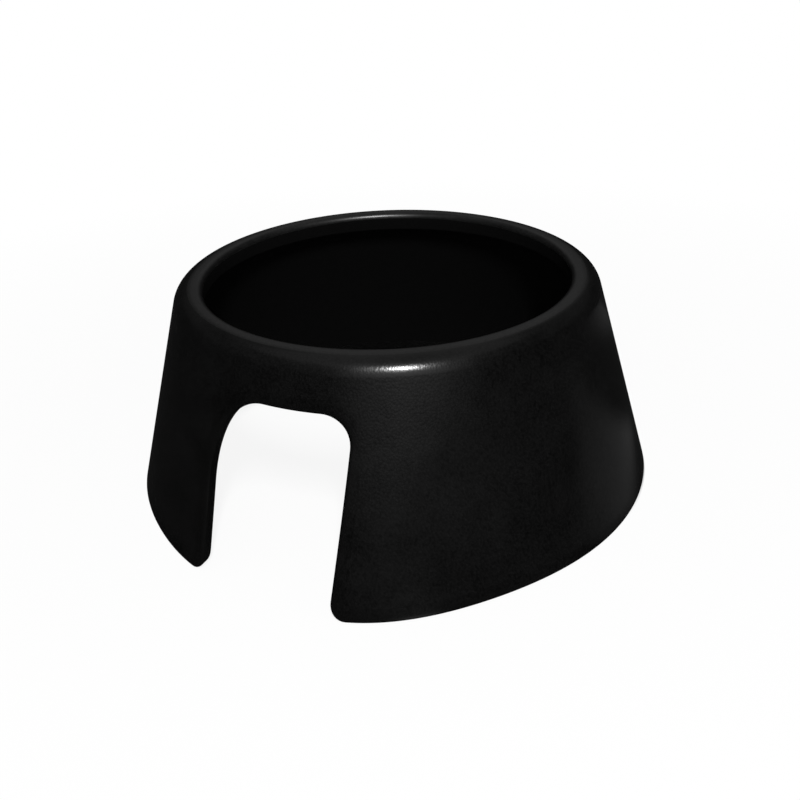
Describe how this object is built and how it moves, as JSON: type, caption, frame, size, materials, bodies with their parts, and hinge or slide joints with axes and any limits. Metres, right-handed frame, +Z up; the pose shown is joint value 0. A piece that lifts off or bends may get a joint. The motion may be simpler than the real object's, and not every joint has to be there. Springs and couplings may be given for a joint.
{
  "type": "colour bowl stand ring",
  "caption": "Low conical ring, open above and below, with a soft lip round its mouth and a tall rounded notch in its front, for standing a tapered hair colour bowl in.",
  "frame": {"origin": "on the ring's axis at the table it stands on", "axes": "+Z up along the ring's axis, -Y out through the notch, +X to the right of someone facing the notch"},
  "size_m": [0.1394, 0.1412, 0.0545],
  "materials": {
    "grained_plastic": "moulded black ABS with a fine leather grain, satin",
    "soft_lip": "smooth black thermoplastic elastomer, low sheen",
    "soft_trim": "smooth black thermoplastic elastomer, low sheen"
  },
  "bodies": {
    "root": {"grained_skirt": "grained_plastic", "rim_lip": "soft_lip", "edge_trim": "soft_trim"}
  },
  "joints": []
}
